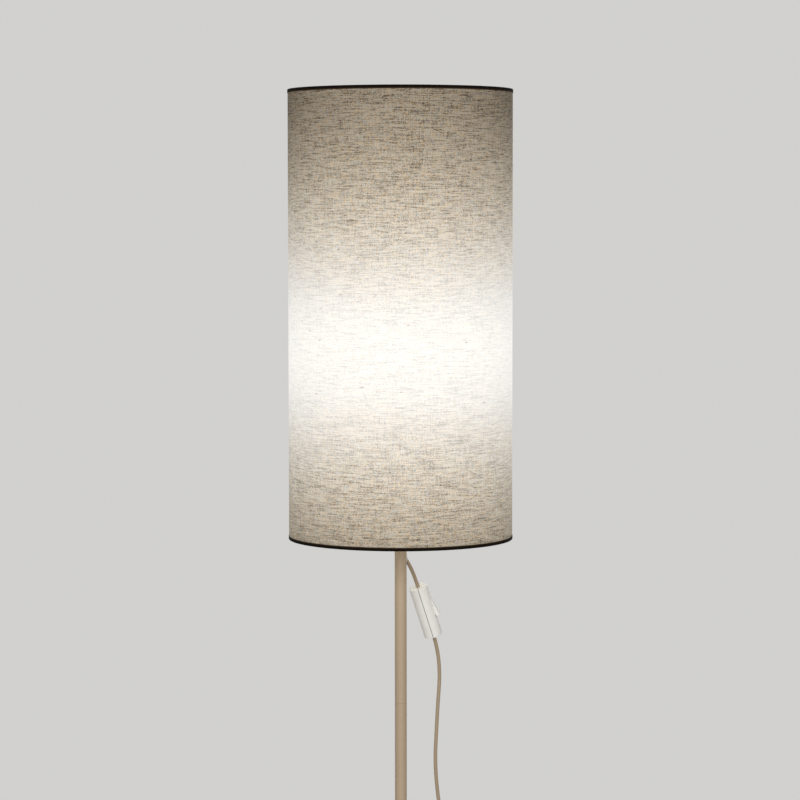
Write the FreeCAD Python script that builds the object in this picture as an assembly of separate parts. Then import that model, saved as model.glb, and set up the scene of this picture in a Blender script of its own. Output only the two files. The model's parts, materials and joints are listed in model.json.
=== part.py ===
"""Column floor lamp: a round base, a screwed three-piece stem, a lampholder with its bulb,
a tall linen drum shade on a wire frame, and a cord with an in-line rocker switch and a plug.

Millimetres, +Z up. The origin is on the floor, at the centre of the base.
"""
import FreeCAD, Part
import math
import os
from FreeCAD import Placement, Rotation
from FreeCAD import Vector as V

# ---------------------------------------------------------------- driving dimensions
# Gaps between pieces that are pushed, screwed or glued together.
fit_gap = 0.1
skin_gap = 0.15

# Base
base_diameter = 280.0
plate_thickness = 8.0
plate_edge_radius = 3.0
pad_thickness = 2.0
pad_inset = 5.0
pad_hole_diameter = 30.0
screw_diameter = 8.0
screw_length = 30.0
screw_head_diameter = 16.0
screw_head_height = 4.4
screw_sink = 0.5
hex_key = 5.0
hex_depth = 3.0

# Stem
stem_diameter = 16.0
stem_wall = 1.2
stem_end_chamfer = 0.4
lower_tube_length = 333.0
middle_tube_length = 333.0
upper_tube_length = 366.0
insert_length = 24.0
foot_insert_length = 30.0
stud_diameter = 10.0
stud_length = 36.0
stud_end_chamfer = 1.0

# Lampholder
nipple_diameter = 10.0
nipple_bore = 6.5
nipple_length = 22.0
nipple_in_stem = 12.0
holder_cap_height = 22.0
holder_cap_neck = 5.0
holder_diameter = 39.0
holder_wall = 2.0
skirt_height = 45.0
skirt_bore = 27.4
skirt_collar_diameter = 43.0
skirt_collar_height = 3.0
core_diameter = 33.0
core_height = 10.0
core_drop = 6.0
core_rim_height = 1.2
core_rim_width = 4.0
wire_hole_reach = 6.0
centre_contact_size = (9.0, 5.0, 0.6)
side_contact_thickness = 0.6
wire_diameter = 1.8
jacket_below_nipple_top = 4.0
ring_nut_diameter = 57.0
ring_nut_height = 6.0
ring_nut_notches = 24
fitter_above_skirt_foot = 25.0

# Bulb
bulb_cap_diameter = 26.4
bulb_cap_length = 24.0
bulb_cap_wall = 1.5
bulb_thread_pitch = 3.62
bulb_thread_turns = 4
bulb_tip_diameter = 6.4
bulb_tip_height = 3.0
bulb_tip_dome = 1.2
bulb_foot_above_core = 3.0
bulb_globe_diameter = 60.0
bulb_length = 108.0
bulb_body_top_diameter = 45.0

# Shade
shade_diameter = 300.0
shade_height = 600.0
shade_above_floor = 900.0
linen_thickness = 0.6
lining_thickness = 0.5
trim_width = 3.8
trim_thickness = 0.4
frame_wire = 4.0
fitter_thickness = 2.0
fitter_width = 9.0
fitter_hole = 41.0
arm_count = 3
arm_azimuth = 90.0

# Cord, grommet and switch
cord_diameter = 5.0
cord_azimuth = 43.0
outlet_drop_angle = 50.0
outlet_corner_rise = 8.4
outlet_bend_run = 8.0
outlet_reach = 9.6
grommet_proud = 1.3
grommet_width = 8.5
grommet_height = 15.0
grommet_centre_height = 873.0
grommet_sleeve_wall = 0.9
switch_diameter = 25.0
switch_length = 74.0
switch_wall = 1.6
switch_end_wall = 2.0
switch_edge_radius = 0.6
switch_seam = 0.6
switch_lip_thickness = 0.7
switch_lip_reach = 1.5
switch_tilt = 22.9
switch_turn = -45.0
switch_top_reach = 32.1
switch_below_grommet = 42.4
cord_in_switch = 6.0
rocker_width = 9.6
rocker_half_length = 12.5
rocker_rise = 2.0
rocker_clearance = 0.3
rocker_offset = 3.0
rocker_throw = 24.0
pivot_depth = 4.5
trunnion_diameter = 3.0
trunnion_length = 1.8
rocker_nose_reach = 5.0
ear_thickness = 1.6
terminal_size = (6.0, 6.0, 8.0)
terminal_distance = 22.0
terminal_seat = 5.5

# Coil, tie and plug
coil_outer_radius = 37.1
coil_pitch = 5.7
coil_climb_inset = 0.7
coil_turns_in = 3.0
coil_turns_out = 2.5
coil_centre = (189.1, 33.0)
tie_thickness = 0.8
tie_width = 12.0
plug_relief_length = 24.0
plug_relief_diameter = 11.2
plug_body_length = 36.0
plug_width = 35.0
plug_height = 13.8
plug_mouth_size = (12.4, 12.0)
plug_waist_size = (19.0, 13.0)
plug_pin_diameter = 4.0
plug_pin_length = 19.0
plug_pin_spacing = 19.0

# ---------------------------------------------------------------- sizes that follow
plate_foot = pad_thickness
stem_foot = plate_foot + plate_thickness
lower_joint = stem_foot + lower_tube_length
upper_joint = lower_joint + middle_tube_length
stem_top = upper_joint + upper_tube_length
stem_radius = stem_diameter / 2
stem_bore_radius = stem_radius - stem_wall
insert_radius = stem_bore_radius - fit_gap
cord_radius = cord_diameter / 2
holder_radius = holder_diameter / 2
nipple_top = stem_top + nipple_length - nipple_in_stem
jacket_end = nipple_top - jacket_below_nipple_top
skirt_foot = stem_top + holder_cap_height
skirt_top = skirt_foot + skirt_height
core_foot = skirt_foot - core_drop
core_top = core_foot + core_height
fitter_foot = skirt_foot + fitter_above_skirt_foot
bulb_foot = core_top + bulb_foot_above_core
shade_radius = shade_diameter / 2
shade_top = shade_above_floor + shade_height
lining_radius = shade_radius - linen_thickness - skin_gap
wire_radius = frame_wire / 2
shade_bore_radius = lining_radius - lining_thickness
ring_radius = shade_bore_radius - trim_thickness - 2 * fit_gap - wire_radius
outlet_corner_height = grommet_centre_height + outlet_corner_rise
switch_radius = switch_diameter / 2
switch_top_height = grommet_centre_height - switch_below_grommet
switch_bore_radius = switch_radius - switch_wall
switch_hole_radius = cord_radius + 2 * fit_gap
coil_low = cord_radius + tie_thickness
coil_high = coil_low + coil_pitch
plug_axis_height = plug_height / 2 + fit_gap

UP = V(0, 0, 1)
ORIGIN = V(0, 0, 0)


def save(node, shape):
    """Writes one sub-part and prints its volume and number of solids."""
    assert shape.isValid(), node
    shape.exportStep("parts/" + node + ".step")
    print(f"{node:26s} solids {len(shape.Solids)}  volume {shape.Volume:12.1f}")


def outward(reach, side, height):
    """A point by its reach from the stem's axis in the cord's plane, side step and height."""
    a = math.radians(cord_azimuth)
    return V(
        reach * math.cos(a) - side * math.sin(a),
        reach * math.sin(a) + side * math.cos(a),
        height,
    )


def rod(radius, low, high, centre=(0, 0)):
    """A vertical round bar from one height to another."""
    return Part.makeCylinder(radius, high - low, V(centre[0], centre[1], low), UP)


def outline(start, *steps):
    """A closed face in the XZ plane. A step is (x, z), or ((x, z), (x, z)) for an arc."""
    edges = []
    here = V(start[0], 0, start[1])
    for step in steps + (start,):
        if isinstance(step[0], tuple):
            middle, end = (V(p[0], 0, p[1]) for p in step)
            edges.append(Part.Arc(here, middle, end).toShape())
        else:
            end = V(step[0], 0, step[1])
            if end.isEqual(here, 1e-7):
                continue
            edges.append(Part.LineSegment(here, end).toShape())
        here = end
    return Part.Face(Part.Wire(edges))


def turned(start, *steps):
    """A solid turned about the lamp's axis from the outline of its half section."""
    return outline(start, *steps).revolve(ORIGIN, UP, 360)


def swept(edges, radius):
    """A round bar of one thickness along joined edges."""
    path = Part.Wire(edges)
    first = path.OrderedEdges[0]
    here = first.valueAt(first.FirstParameter)
    heading = first.tangentAt(first.FirstParameter)
    ring = Part.Wire(Part.makeCircle(radius, here, heading))
    return path.makePipeShell([ring], True, False)


def rounded_route(points, name):
    """Straight runs joined by arcs, each as large as its two runs allow."""
    edges = []
    radii = []
    here = points[0]
    for before, corner, after in zip(points, points[1:], points[2:]):
        back = before - corner
        on = after - corner
        half_turn = (math.pi - back.getAngle(on)) / 2
        cut = 0.45 * min(back.Length, on.Length)
        radii.append(cut / math.tan(half_turn))
        enters = corner + back.normalize() * cut
        leaves = corner + on.normalize() * cut
        chord_middle = (enters + leaves) / 2
        share = math.tan(half_turn / 2) / math.tan(half_turn)
        middle = chord_middle + (corner - chord_middle) * share
        edges.append(Part.LineSegment(here, enters).toShape())
        edges.append(Part.Arc(enters, middle, leaves).toShape())
        here = leaves
    edges.append(Part.LineSegment(here, points[-1]).toShape())
    print(f"{name}: arc radii " + " ".join(f"{r:.0f}" for r in radii))
    return edges


def cord_tube(points, name):
    """A free stretch of cord, with its volume set against its section times its length."""
    edges = rounded_route(points, name)
    tube = swept(edges, cord_radius)
    length = sum(e.Length for e in edges)
    ratio = tube.Volume / (math.pi * cord_radius ** 2 * length)
    print(f"{name}: length {length:.1f}, volume over section times length {ratio:.4f}")
    return tube


# ---------------------------------------------------------------- base
def base_pad():
    """Felt under the plate, open in the middle for the screw."""
    disc = rod(base_diameter / 2 - pad_inset, 0, pad_thickness - fit_gap)
    return disc.cut(rod(pad_hole_diameter / 2, -1, pad_thickness))


def base_plate():
    """Steel disc with a rounded upper edge and a countersunk hole from below."""
    r = base_diameter / 2
    e = plate_edge_radius
    bend = e * math.sin(math.radians(45))
    top = stem_foot
    hole = screw_diameter / 2 + fit_gap
    head = screw_head_diameter / 2 + fit_gap
    head_top = plate_foot + screw_sink + screw_head_height
    under_chamfer = 0.6
    return turned(
        (head, plate_foot),
        (r - under_chamfer, plate_foot),
        (r, plate_foot + under_chamfer),
        (r, top - e),
        ((r - e + bend, top - e + bend), (r - e, top)),
        (hole, top),
        (hole, head_top),
        (head, plate_foot + screw_sink),
    )


def base_screw():
    """Countersunk screw with a hexagon socket, up into the stem's foot."""
    low = plate_foot + screw_sink
    r = screw_diameter / 2
    tip = 0.8
    body = turned(
        (0, low),
        (screw_head_diameter / 2, low),
        (r, low + screw_head_height),
        (r, low + screw_length - tip),
        (r - tip, low + screw_length),
        (0, low + screw_length),
    )
    corner = hex_key / 2 / math.cos(math.radians(30))
    points = [
        V(corner * math.cos(math.radians(a)), corner * math.sin(math.radians(a)), low - 1)
        for a in range(0, 361, 60)
    ]
    socket = Part.Face(Part.makePolygon(points)).extrude(V(0, 0, hex_depth + 1))
    return body.cut(socket)


# ---------------------------------------------------------------- stem
def stem_tube(low, high):
    """One length of tube, with small chamfers at its outer ends."""
    c = stem_end_chamfer
    return turned(
        (stem_bore_radius, low),
        (stem_radius - c, low),
        (stem_radius, low + c),
        (stem_radius, high - c),
        (stem_radius - c, high),
        (stem_bore_radius, high),
    )


def threaded_insert(low, high, bore_diameter):
    """Turned bush pressed into a tube's end, with a tapped bore and one groove outside."""
    bore = bore_diameter / 2 + fit_gap
    chamfer = 0.5
    groove_depth = 0.6
    groove_half = 1.0
    groove_side = groove_half + 0.5
    middle = (low + high) / 2
    return turned(
        (bore, low),
        (insert_radius - chamfer, low),
        (insert_radius, low + chamfer),
        (insert_radius, middle - groove_side),
        (insert_radius - groove_depth, middle - groove_half),
        (insert_radius - groove_depth, middle + groove_half),
        (insert_radius, middle + groove_side),
        (insert_radius, high - chamfer),
        (insert_radius - chamfer, high),
        (bore, high),
    )


def joint_stud(joint):
    """Headless stud that draws two tube ends together."""
    low = joint - stud_length / 2
    high = joint + stud_length / 2
    r = stud_diameter / 2
    c = stud_end_chamfer
    return turned((0, low), (r - c, low), (r, low + c), (r, high - c), (r - c, high), (0, high))


# ---------------------------------------------------------------- lampholder
def holder_nipple():
    """Hollow threaded nipple that carries the holder and lets the cord through."""
    low = stem_top - nipple_in_stem
    high = nipple_top
    r = nipple_diameter / 2
    c = 0.7
    bore = nipple_bore / 2
    return turned(
        (bore, low), (r - c, low), (r, low + c), (r, high - c), (r - c, high), (bore, high)
    )


def holder_cap():
    """Domed cover of the holder, screwed on the nipple."""
    r = holder_radius
    w = holder_wall
    bore = nipple_diameter / 2 + fit_gap
    boss = bore + w
    neck = stem_top + holder_cap_neck
    edge = 0.6
    dome_rise = 14.0
    outer_shoulder = (r - 2.2, neck + 6.5)
    inner_shoulder = (r - w - 2.4, neck + 8.0)
    inner_fillet_end = (boss + 1.5, neck + 2.6)
    return turned(
        (bore, stem_top),
        (stem_radius - edge, stem_top),
        (stem_radius, stem_top + edge),
        (stem_radius, neck - 1.0),
        (outer_shoulder, (r, neck + dome_rise)),
        (r, skirt_foot),
        (r - w, skirt_foot),
        (r - w, neck + dome_rise + 1.0),
        (inner_shoulder, inner_fillet_end),
        (boss, inner_fillet_end[1] + 0.8),
        (boss, nipple_top),
        (bore, nipple_top),
    )


def holder_core():
    """Porcelain disc that carries the contacts, with two holes for the wires."""
    disc = rod(core_diameter / 2, core_foot, core_top)
    pocket = rod(core_diameter / 2 - core_rim_width, core_top - core_rim_height, core_top + 1)
    shape = disc.cut(pocket)
    hole = wire_diameter / 2 + fit_gap
    for side in (-1, 1):
        shape = shape.cut(rod(hole, core_foot - 1, core_top, (side * wire_hole_reach, 0)))
    return shape


def centre_contact():
    """Sprung brass tongue under the bulb's tip."""
    length, width, thick = centre_contact_size
    floor = core_top - core_rim_height + fit_gap
    crest = bulb_foot - fit_gap
    crest_half = 1.5
    bend_lean = 0.3
    profile = outline(
        (-length, floor),
        (-length, floor + thick),
        (-length / 3, floor + thick),
        (-crest_half, crest),
        (crest_half, crest),
        (crest_half, crest - thick),
        (bend_lean - crest_half, crest - thick),
        (bend_lean - length / 3, floor),
    )
    strip = profile.extrude(V(0, width, 0))
    strip.translate(V(0, -width / 2, 0))
    return strip


def side_contact():
    """Brass strip that reaches up beside the bulb's thread."""
    width = 5.0
    floor = core_top + fit_gap
    t = side_contact_thickness
    near = bulb_cap_diameter / 2 + 0.25
    foot = core_diameter / 2 - 0.2
    profile = outline((near, floor), (foot, floor), (foot, floor + t), (near + t, floor + t))
    strip = profile.extrude(V(0, width, 0))
    strip.translate(V(0, -width / 2, 0))
    return strip


def holder_skirt():
    """Outer sleeve of the holder, ribbed as a coarse thread for the two ring nuts."""
    r = holder_radius
    collar = skirt_collar_diameter / 2
    bore = skirt_bore / 2
    wide = core_diameter / 2 + fit_gap
    ledge = core_top + side_contact_thickness + 4 * fit_gap
    thread_low = skirt_foot + skirt_collar_height + 4
    turns = 7
    thread_depth = 0.5
    run_out = 3.0
    rim = 1.0
    lead_in = 0.6
    pitch = (skirt_top - run_out - thread_low) / turns
    steps = [
        (collar, skirt_foot),
        (collar, skirt_foot + skirt_collar_height),
        (r, skirt_foot + skirt_collar_height),
        (r, thread_low),
    ]
    for i in range(turns):
        z = thread_low + i * pitch
        steps.append(((r - thread_depth, z + pitch / 2), (r, z + pitch)))
    steps += [(r, skirt_top - rim), (r - rim, skirt_top), (bore + lead_in, skirt_top)]
    steps += [(bore, skirt_top - lead_in), (bore, ledge), (wide, ledge)]
    return turned((wide, skirt_foot), *steps)


def shade_ring_nut(low):
    """Flanged ring nut with finger notches round its rim."""
    bore = holder_radius + fit_gap
    rim = ring_nut_diameter / 2
    hub = holder_radius + 3.5
    high = low + ring_nut_height
    flange_top = low + 2.4
    notch_radius = 1.8
    notch_reach = rim + notch_radius / 2
    ring = turned((bore, low), (rim, low), (rim, flange_top), (hub, flange_top), (hub, high), (bore, high))
    for i in range(ring_nut_notches):
        turn = 2 * math.pi * i / ring_nut_notches
        centre = (notch_reach * math.cos(turn), notch_reach * math.sin(turn))
        ring = ring.cut(rod(notch_radius, low - 1, flange_top + 1, centre))
    return ring


def holder_wires():
    """The two insulated wires from the cord's end to the terminals in the core."""
    wires = []
    half_apart = 1.1
    start = jacket_end + 1.0
    spread_from = nipple_top + 1.0
    spread_to = spread_from + 2.2
    terminal_depth = 2.5
    for side in (-1, 1):
        points = [
            V(side * half_apart, 0, start),
            V(side * half_apart, 0, spread_from),
            V(side * wire_hole_reach, 0, spread_to),
            V(side * wire_hole_reach, 0, core_top - terminal_depth),
        ]
        wires.append(swept(rounded_route(points, "holder wire"), wire_diameter / 2))
    return Part.makeCompound(wires)


# ---------------------------------------------------------------- bulb
def bulb_cap_foot():
    """The height of the screw cap's lower edge."""
    return bulb_foot + bulb_tip_height + 2 * fit_gap


def bulb_screw_cap():
    """Rolled brass cap with its round thread."""
    thread_depth = 0.9
    foot_curve = 1.1
    crest = bulb_cap_diameter / 2
    root = crest - thread_depth
    inside = crest - bulb_cap_wall
    low = bulb_cap_foot()
    high = bulb_foot + bulb_cap_length
    lip = 8.0
    sheet = 0.6
    thread_low = low + 2.4
    steps = [(root - foot_curve, low), (root, low + 1.2), (root, thread_low)]
    for i in range(bulb_thread_turns):
        z = thread_low + i * bulb_thread_pitch
        steps.append(((crest, z + bulb_thread_pitch / 2), (root, z + bulb_thread_pitch)))
    steps += [(root, high), (inside, high), (inside, low + sheet + 1.0), (inside - 0.9, low + sheet)]
    return turned((lip, low), *steps, (lip, low + sheet))


def bulb_insulator():
    """Black glass bead between the screw cap and the tip."""
    low = bulb_foot + 0.9
    high = bulb_cap_foot() - fit_gap
    hole = bulb_tip_diameter / 2
    narrow = 5.0
    wide = 11.0
    return turned((hole, low), (narrow, low), (wide, high), (hole, high))


def bulb_tip():
    """Solder tip, the bulb's domed centre contact."""
    r = bulb_tip_diameter / 2 - fit_gap
    high = bulb_foot + bulb_tip_height
    lean = math.atan2(bulb_tip_dome, r)
    dome_radius = r / math.sin(2 * lean)
    halfway = (dome_radius * math.sin(lean), bulb_foot + dome_radius * (1 - math.cos(lean)))
    return turned((0, bulb_foot), (halfway, (r, bulb_foot + bulb_tip_dome)), (r, high), (0, high))


def bulb_body():
    """White collar that flares from the screw cap to the globe."""
    cap_top = bulb_foot + bulb_cap_length
    spigot_foot = cap_top - 6.0
    neck = bulb_cap_diameter / 2 - 0.3
    neck_top = skirt_top + 1.0
    top = bulb_body_top_diameter / 2
    seat = globe_seat_height() - fit_gap
    band_foot = seat - 1.0
    spigot = bulb_cap_diameter / 2 - bulb_cap_wall - fit_gap
    flare = ((neck + top) / 2 + 1.2, (neck_top + band_foot) / 2)
    return turned(
        (0, spigot_foot),
        (spigot, spigot_foot),
        (spigot, cap_top),
        (neck, cap_top),
        (neck, neck_top),
        (flare, (top, band_foot)),
        (top, seat),
        (0, seat),
    )


def globe_seat_height():
    """The height at which the globe meets the bulb's body."""
    radius = bulb_globe_diameter / 2
    centre = bulb_foot + bulb_length - radius
    return centre - math.sqrt(radius ** 2 - (bulb_body_top_diameter / 2) ** 2)


def bulb_globe():
    """Opal globe, a hollow part of a ball on the bulb's body."""
    outer = bulb_globe_diameter / 2
    inner = outer - 1.2
    centre = bulb_foot + bulb_length - outer
    foot = globe_seat_height()
    rim = bulb_body_top_diameter / 2
    inner_rim = math.sqrt(inner ** 2 - (centre - foot) ** 2)

    def on_ball(radius, degrees_from_top):
        """A point of the section, by the ball's radius and the angle down from its top."""
        a = math.radians(degrees_from_top)
        return radius * math.sin(a), centre + radius * math.cos(a)

    return turned(
        (rim, foot),
        (on_ball(outer, 90), on_ball(outer, 30)),
        (on_ball(outer, 15), (0, centre + outer)),
        (0, centre + inner),
        (on_ball(inner, 15), on_ball(inner, 30)),
        (on_ball(inner, 90), (inner_rim, foot)),
    )


# ---------------------------------------------------------------- shade
def drum(outer, thickness):
    """A plain hollow cylinder over the height of the shade."""
    inner = outer - thickness
    return turned(
        (inner, shade_above_floor), (outer, shade_above_floor), (outer, shade_top), (inner, shade_top)
    )


def shade_trim(edge, way):
    """Tape folded over one edge of the shade. way is +1 where the shade lies above it."""
    over = skin_gap
    outer = shade_radius + over + trim_thickness
    inner = shade_bore_radius - over - trim_thickness
    fold = edge - way * (over + trim_thickness)
    return turned(
        (outer, fold),
        (outer, edge + way * trim_width),
        (outer - trim_thickness, edge + way * trim_width),
        (outer - trim_thickness, edge - way * over),
        (inner + trim_thickness, edge - way * over),
        (inner + trim_thickness, edge + way * trim_width),
        (inner, edge + way * trim_width),
        (inner, fold),
    )


def shade_ring(height):
    """Wire ring just inside the trim."""
    return Part.makeTorus(ring_radius, wire_radius, V(0, 0, height), UP)


def fitter_ring():
    """Flat ring that the two ring nuts clamp."""
    hole = fitter_hole / 2
    rim = hole + fitter_width
    return turned(
        (hole, fitter_foot),
        (rim, fitter_foot),
        (rim, fitter_foot + fitter_thickness),
        (hole, fitter_foot + fitter_thickness),
    )


def arm_ends():
    """The arm's lower and upper end, in its own upright plane."""
    low = V(ring_radius - wire_radius - fit_gap, 0, bottom_ring_height())
    high = V(fitter_hole / 2 + fitter_width + fit_gap, 0, fitter_foot + fitter_thickness / 2)
    return low, high


def bottom_ring_height():
    """The bottom ring lies a wire's radius above the shade's lower edge."""
    return shade_above_floor + wire_radius


def shade_arms():
    """Straight rods from the bottom ring up to the fitter ring, cut to meet both."""
    low, high = arm_ends()
    run = (high - low).Length
    along = (high - low).normalize()
    spare = 2 * wire_radius
    top_face = fitter_foot + fitter_thickness
    ring_hollow = Part.makeTorus(ring_radius, wire_radius + fit_gap, V(0, 0, bottom_ring_height()), UP)
    bar = Part.makeCylinder(wire_radius, run + 2 * spare, low - along * spare, along)
    bar = bar.cut(rod(high.x, fitter_foot - 20, top_face + 20)).cut(ring_hollow)
    bar = bar.common(rod(ring_radius - wire_radius, shade_above_floor, top_face))
    arms = []
    for i in range(arm_count):
        arm = bar.copy()
        arm.rotate(ORIGIN, UP, arm_azimuth + 360.0 * i / arm_count)
        arms += arm.Solids
    return Part.makeCompound(arms)


# ---------------------------------------------------------------- cord outlet
def outlet_heading():
    """The way in which the cord leaves the stem."""
    a = math.radians(outlet_drop_angle)
    return outward(math.cos(a), 0, -math.sin(a))


def outlet_point(reach):
    """A point on the slanted outlet's axis."""
    drop = reach * math.tan(math.radians(outlet_drop_angle))
    return outward(reach, 0, outlet_corner_height - drop)


def outlet_bar(radius, start_reach, end_reach):
    """A round bar along the outlet's axis."""
    start = outlet_point(start_reach)
    length = (outlet_point(end_reach) - start).Length
    return Part.makeCylinder(radius, length, start, outlet_heading())


def cord_grommet():
    """Slanted bush in the stem's wall, with a saddle flange outside."""
    low = grommet_centre_height - grommet_height
    high = grommet_centre_height + grommet_height
    tube = rod(stem_radius + fit_gap, low, high)
    skin = rod(stem_radius + grommet_proud, low, high)
    oval = Part.Ellipse(ORIGIN, grommet_height / 2, grommet_width / 2).toShape()
    flange = Part.Face(Part.Wire(oval)).extrude(V(0, 0, 2 * stem_radius))
    flange.rotate(ORIGIN, V(0, 1, 0), 90)
    flange.rotate(ORIGIN, UP, cord_azimuth)
    flange.translate(V(0, 0, grommet_centre_height))
    flange = flange.common(skin).cut(tube)
    sleeve_radius = cord_radius + fit_gap + grommet_sleeve_wall
    reaches_in = 1.5
    beyond = 4.0
    sleeve = outlet_bar(sleeve_radius, stem_bore_radius - reaches_in, stem_radius + beyond).common(skin)
    bush = flange.fuse(sleeve).removeSplitter()
    return bush.cut(outlet_bar(cord_radius + fit_gap, -2, 4 * stem_radius))


def outlet_hole():
    """What the grommet's sleeve needs cut from the tube's wall."""
    return outlet_bar(cord_radius + 2 * fit_gap + grommet_sleeve_wall, 1.0, 3 * stem_radius)


def cord_in_stem():
    """The cord from the nipple down the stem's axis and out through the grommet."""
    top = V(0, 0, jacket_end)
    corner = outlet_point(0)
    bend_from = corner + UP * outlet_bend_run
    bend_to = corner + outlet_heading() * outlet_bend_run
    half_turn = math.radians(90 - outlet_drop_angle) / 2
    chord_middle = (bend_from + bend_to) / 2
    share = math.tan(half_turn / 2) / math.tan(half_turn)
    middle = chord_middle + (corner - chord_middle) * share
    edges = [
        Part.LineSegment(top, bend_from).toShape(),
        Part.Arc(bend_from, middle, bend_to).toShape(),
        Part.LineSegment(bend_to, outlet_point(outlet_reach)).toShape(),
    ]
    print(f"cord in stem: bend radius {outlet_bend_run / math.tan(half_turn):.0f}")
    return swept(edges, cord_radius)


# ---------------------------------------------------------------- switch
def switch_down():
    """The way from the switch's top to its bottom."""
    a = math.radians(switch_tilt)
    return outward(math.sin(a), 0, -math.cos(a))


def switch_point(down):
    """A point on the switch's axis, counted down from its top face."""
    return outward(switch_top_reach, 0, switch_top_height) + switch_down() * down


def place_switch(shape):
    """Moves a shape from the switch's own frame, +Z up its axis and +X to the rocker."""
    turn = Rotation(UP, cord_azimuth) * Rotation(V(0, 1, 0), -switch_tilt) * Rotation(UP, switch_turn)
    placed = shape.copy()
    placed.Placement = Placement(switch_point(switch_length / 2), turn).multiply(placed.Placement)
    return placed


def switch_case():
    """The whole hollow case, before it is parted lengthwise."""
    half = switch_length / 2
    r = switch_radius
    e = switch_edge_radius
    bend = e * (1 - math.sin(math.radians(45)))
    hole = switch_hole_radius
    inner = half - switch_end_wall
    return turned(
        (hole, -half),
        (r - e, -half),
        ((r - bend, -half + bend), (r, -half + e)),
        (r, half - e),
        ((r - bend, half - bend), (r - e, half)),
        (hole, half),
        (hole, inner),
        (switch_bore_radius, inner),
        (switch_bore_radius, -inner),
        (hole, -inner),
    )


def half_space(side):
    """A block on one side of the parting seam."""
    size = 2 * switch_length
    block = Part.makeBox(size, size, size, V(switch_seam / 2, -size / 2, -size / 2))
    return block if side > 0 else block.mirror(ORIGIN, V(1, 0, 0))


def switch_inside():
    """What fills the case's hollow, and bites a little into its wall."""
    bite = 0.5
    half = switch_length / 2 - switch_end_wall + bite
    return rod(switch_bore_radius + bite, -half, half)


def seam_lip(clearance):
    """Thin inner wall of the back shell that reaches past the seam and closes it to light."""
    half = switch_length / 2 - switch_end_wall - fit_gap + clearance
    ring = rod(switch_bore_radius + switch_lip_thickness + clearance, -half, half)
    ring = ring.cut(rod(switch_bore_radius, -half, half))
    start = -switch_seam
    reach = switch_lip_reach + clearance - start
    return ring.common(Part.makeBox(reach, switch_diameter, 2 * half, V(start, -switch_radius, -half)))


def pivot_x():
    """How far the rocker's pivot lies from the switch's axis."""
    return switch_radius - pivot_depth


def rocker_reach():
    """How far the rocker's corners lie from its pivot."""
    return math.hypot(rocker_half_length, pivot_depth + rocker_rise)


def trunnion_bar(radius, half_span):
    """A round bar across the switch, centred on the rocker's pivot."""
    return Part.makeCylinder(radius, 2 * half_span, V(0, -half_span, 0), V(0, 1, 0))


def switch_front_shell():
    """The shell with the rocker's window and the two ears that carry its trunnions."""
    shell = switch_case().common(half_space(1)).cut(seam_lip(fit_gap))
    sweep = math.sqrt(rocker_reach() ** 2 - (pivot_depth - switch_wall) ** 2)
    window_half = sweep + rocker_clearance
    window_width = rocker_width + 2 * rocker_clearance
    window_from = V(pivot_x() / 2, -window_width / 2, rocker_offset - window_half)
    shell = shell.cut(Part.makeBox(switch_radius, window_width, 2 * window_half, window_from))
    ear_height = 7.0
    ear_from = pivot_x() - 2.8
    for side in (-1, 1):
        near = window_width / 2 + fit_gap
        y = near if side > 0 else -near - ear_thickness
        corner = V(ear_from, y, rocker_offset - ear_height / 2)
        ear = Part.makeBox(switch_radius, ear_thickness, ear_height, corner)
        shell = shell.fuse(ear.common(switch_inside()))
    half_span = rocker_width / 2 + trunnion_length + fit_gap
    bearing = trunnion_bar(trunnion_diameter / 2 + fit_gap, half_span)
    bearing.translate(V(pivot_x(), 0, rocker_offset))
    return shell.removeSplitter().cut(bearing)


def switch_back_shell():
    """The plain shell, with its lip under the seam and a pad inside under each terminal."""
    shell = switch_case().common(half_space(-1)).fuse(seam_lip(0.0))
    width = 7.0
    height = 9.0
    pad_top = terminal_seat - switch_radius
    for end in (-1, 1):
        corner = V(pad_top - switch_radius, -width / 2, end * terminal_distance - height / 2)
        pad = Part.makeBox(switch_radius, width, height, corner)
        shell = shell.fuse(pad.common(switch_inside()))
    return shell.removeSplitter()


def switch_terminals():
    """Two brass blocks that grip the wires, each with a clamping hole."""
    deep, wide, high = terminal_size
    hole_radius = 1.6
    hole_reach = 3.8
    low = terminal_seat - switch_radius + fit_gap
    blocks = []
    for end in (-1, 1):
        foot = end * terminal_distance - high / 2
        block = Part.makeBox(deep, wide, high, V(low, -wide / 2, foot))
        blocks.append(block.cut(rod(hole_radius, foot - 1, foot + high + 1, (low + hole_reach, 0))))
    return Part.makeCompound(blocks)


def switch_leaf():
    """Sprung leaf from the lower terminal to under the rocker's nose."""
    t = 0.5
    width = 4.0
    low = terminal_seat - switch_radius + terminal_size[0] + 2 * fit_gap
    lift = pivot_x() - rocker_nose_reach - t - rocker_clearance
    held_from = -terminal_distance - 3.0
    held_to = -terminal_distance + 4.5
    rest_from = rocker_offset - 3.0
    rest_to = rocker_offset + 6.0
    profile = outline(
        (low, held_from),
        (low + t, held_from),
        (low + t, held_to),
        (lift + t, rest_from),
        (lift + t, rest_to),
        (lift, rest_to),
        (lift, rest_from),
        (low, held_to),
    )
    leaf = profile.extrude(V(0, width, 0))
    leaf.translate(V(0, -width / 2, 0))
    return leaf


def rocker_nose():
    """Blunt finger under the rocker that works the leaf, from its pivot inwards."""
    root_half = 1.6
    tip_half = 1.2
    width = 3.0
    end = -rocker_nose_reach
    round_from = end + tip_half
    rounded_end = ((end, 0), (round_from, -tip_half))
    nose = outline((0, -root_half), (0, root_half), (round_from, tip_half), rounded_end)
    nose = nose.extrude(V(0, width, 0))
    nose.translate(V(0, -width / 2, 0))
    return nose


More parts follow.
